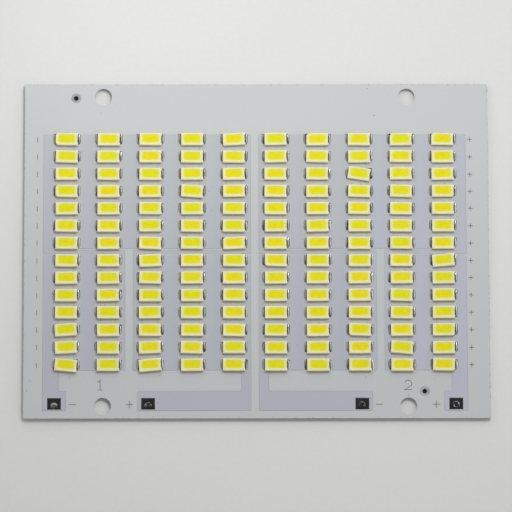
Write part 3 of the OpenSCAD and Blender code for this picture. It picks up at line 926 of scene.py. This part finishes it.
# Ink line: a low four-sided profile carried along a path of points with mitred bends
def inkLine(path, level):
    path = np.asarray(path, float)
    step = np.diff(path, axis=0)
    step = step / np.linalg.norm(step, axis=1, keepdims=True)
    normal = np.stack([-step[:, 1], step[:, 0]], -1)
    mitre = mitreAt(np.concatenate([normal[:1], normal]), np.concatenate([normal, normal[-1:]]))
    half = printLook["stroke"] / 2
    narrow = printLook["topShare"] * half
    low, high = level - printLook["sink"], level + printLook["thick"]
    rings = carryProfile(path, mitre, [(-half, low), (half, low), (narrow, high), (-narrow, high)], 1)
    return rings.reshape(-1, 3), barFaces(len(path))


# Height of the mask's face under a place on the board, by a ray from above
def maskHeight(x, y, above=5):
    found, place = nodes["solder_mask"].ray_cast((x * mm, y * mm, above * mm), (0, 0, -1))[:2]
    return place.z / mm if found else maskBare


# A plus is a level bar and an upright one; a minus is the level bar alone
def signPaths(x, y, size, plus=True):
    level, upright = [(x - size / 2, y), (x + size / 2, y)], [(x, y - size / 2), (x, y + size / 2)]
    return [level, upright] if plus else [level]


# Numbers of the circuits: a flag and a stem on a foot, and part of an ellipse that runs down to a foot
def digitPaths(top):
    foot = top - printLook["digitTall"]
    x, flag, stem = (printLook[key] for key in ("oneAt", "oneFlag", "oneStem"))
    one = [[(x + flag[0], top + flag[1]), (x + stem, top), (x + stem, foot)],
           [(x + end, foot) for end in printLook["oneFoot"]]]
    x, radii = printLook["twoAt"], printLook["twoRadii"]
    bow = np.radians(np.linspace(*printLook["twoBow"]))
    arc = np.stack([x + radii[0] * np.cos(bow), top - radii[1] + radii[1] * np.sin(bow)], -1)
    return [*one, np.concatenate([arc, [(x + end, foot) for end in printLook["twoFoot"]]])]


# Specks: short bent lines of dirt at set places and of flux beside LEDs drawn at random
def speckPaths():
    chosen = rng.choice(ledCount, printLook["residue"], replace=False)
    aside = rng.uniform(-printLook["residueAside"], printLook["residueAside"], len(chosen))
    flux = [(leds[k, 0] + shift, leds[k, 1] + printLook["residueUp"] + printLook["residueSpread"] * rng.random(),
             rng.uniform(*printLook["residueSize"])) for k, shift in zip(chosen, aside)]
    paths = []
    for x, y, size in printLook["specks"] + flux:
        lean = size * rng.uniform(-printLook["speckLean"], printLook["speckLean"], 2)
        paths.append([(x - size / 2, y - lean[0]), (x, y + lean[1]), (x + size / 2, y - lean[0])])
    return paths


# Printed marks: a mark at each row's ends, signs at the wire pads, the circuits' numbers and the specks
def makeMarks():
    half = printLook["tickLong"] / 2
    left = ledFrames[0, :, 0].mean() - printLook["tickOff"]
    right = ledFrames[-1, :, 0].mean() + printLook["plusOff"]
    paths = [[(left, y - half), (left, y + half)] for y in ledFrames[0, :, 1]]
    for y in ledFrames[-1, :, 1]:
        paths += signPaths(right, y, printLook["plusLong"])
    for name, off in printLook["signOff"].items():
        low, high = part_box(name)
        x, y = (low.x + high.x) / 2 / mm + off, (low.y + high.y) / 2 / mm + printLook["signDrop"]
        paths += signPaths(x, y, printLook["signLong"], name.endswith("plus"))
    paths += digitPaths(y - printLook["signDrop"] + printLook["digitTop"])
    paths += speckPaths()
    points, faces, total = [], [], 0
    for path in paths:
        linePoints, lineFaces = inkLine(path, maskHeight(*path[len(path) // 2]))
        points.append(linePoints)
        faces.append(lineFaces + total)
        total += len(linePoints)
    addPiece("printedMarks", np.concatenate(points), faces, "ink", sharpAngle=30)


makeMarks()


# Floor, light and camera

stageLook = dict(
    floor=paint(226, 226, 224), floorHalf=4.0, floorSpeck=(0.97, 1.02), floorFine=900.0,  # half width in metres
    lamps=dict(  # place and size in metres, and power
        keyLamp=((0.055, 0.10, 0.235), 0.09, 0.285), fillLamp=((-0.05, 0.07, 0.08), 0.06, 0.017)),
    # world's brightness by the height of a direction, and how much it grows towards brightWay
    sky=[(0.0, 0.70), (0.6, 0.59), (0.86, 0.44), (0.95, 0.055), (1.0, 0.045)],
    brightWay=(0.7, 0.7, 0.0), brightShare=0.5,
    glow=2.6, glowWay=(0.45, 0.38, 0.81), glowWidth=0.009,
    cameraPlace=(-8.22, -148.13, 935.44),  # millimetres, from the board's middle
    cameraTurn=(8.927, -0.474, -0.127), focalPixels=4000.0, imagePixels=512,
    sensorWidth=36.0, clip=(0.01, 20.0),
)


# Floor: one large square at the board's underside, with a faint grain
def makeFloor():
    half = stageLook["floorHalf"]
    mesh = bpy.data.meshes.new("floor")
    mesh.from_pydata([(-half, -half, 0), (half, -half, 0), (half, half, 0), (-half, half, 0)], [], [(0, 1, 2, 3)])
    material, tree, shader = startMaterial("paleFloor", Roughness=0.85, Specular_IOR_Level=0.2)
    speckle = useGroup(tree, surfaceGrain, Fine=stageLook["floorFine"])["Speckle"]
    shade = spanNode(tree, speckle, 0.0, 1.0, *stageLook["floorSpeck"])
    linkShader(tree, shader, mixColour(tree, 1.0, stageLook["floor"], shade, blend="MULTIPLY"))
    mesh.materials.append(material)
    floor = addObject("floor", mesh)


# Round lamp that faces the board's middle
def makeLamp(name, place, size, power):
    lamp = bpy.data.lights.new(name, "AREA")
    lamp.shape = "DISK"
    lamp.size = size
    lamp.energy = power
    holder = addObject(name, lamp)
    holder.location = place
    holder.rotation_euler = (-Vector(place)).to_track_quat("-Z", "Y").to_euler()
    holder.visible_camera = False
    holder.visible_glossy = False  # metal shows the world's soft glow instead of a hard lamp


# Cosine of the angle between the way a ray goes and a fixed way
def facing(tree, way, fixed):
    product = addNode(tree, "VectorMath", {0: way, 1: Vector(fixed).normalized()}, operation="DOT_PRODUCT")
    return product.outputs["Value"]


# World: dark straight up, where the flat metal looks, pale lower down and paler on the key lamp's side,
# where it has a soft glow
def makeWorld():
    world = bpy.data.worlds.new("studio")
    world.use_nodes = True
    tree = world.node_tree
    way = addNode(tree, "TexCoord").outputs["Generated"]
    height = addNode(tree, "SeparateXYZ", {"Vector": way}).outputs["Z"]
    light = rampNode(tree, height, [(level, (grey, grey, grey, 1.0)) for level, grey in stageLook["sky"]])
    side = facing(tree, way, stageLook["brightWay"])
    share = mathNode(tree, "MULTIPLY_ADD", side, stageLook["brightShare"], 1.0)
    light = mixColour(tree, 1.0, light, share, blend="MULTIPLY")
    aim = facing(tree, way, stageLook["glowWay"])
    spot = spanNode(tree, aim, 1 - stageLook["glowWidth"], 1.0, 0.0, stageLook["glow"], curve="SMOOTHSTEP")
    light = mixColour(tree, 1.0, light, spot, blend="ADD")
    tree.links.new(light, tree.nodes["Background"].inputs["Color"])
    scene.world = world


# Camera: its lens is the focal length in pixels, carried over to the sensor's width
def makeCamera():
    lens = bpy.data.cameras.new("camera")
    lens.sensor_width = stageLook["sensorWidth"]
    lens.lens = stageLook["focalPixels"] * lens.sensor_width / stageLook["imagePixels"]
    lens.clip_start, lens.clip_end = stageLook["clip"]
    camera = addObject("camera", lens)
    camera.location = Vector(stageLook["cameraPlace"]) * mm
    camera.rotation_euler = Euler([math.radians(angle) for angle in stageLook["cameraTurn"]])
    scene.camera = camera


makeFloor()
for lampName, lampLook in stageLook["lamps"].items():
    makeLamp(lampName, *lampLook)
makeWorld()
makeCamera()
print("stage and camera ready")
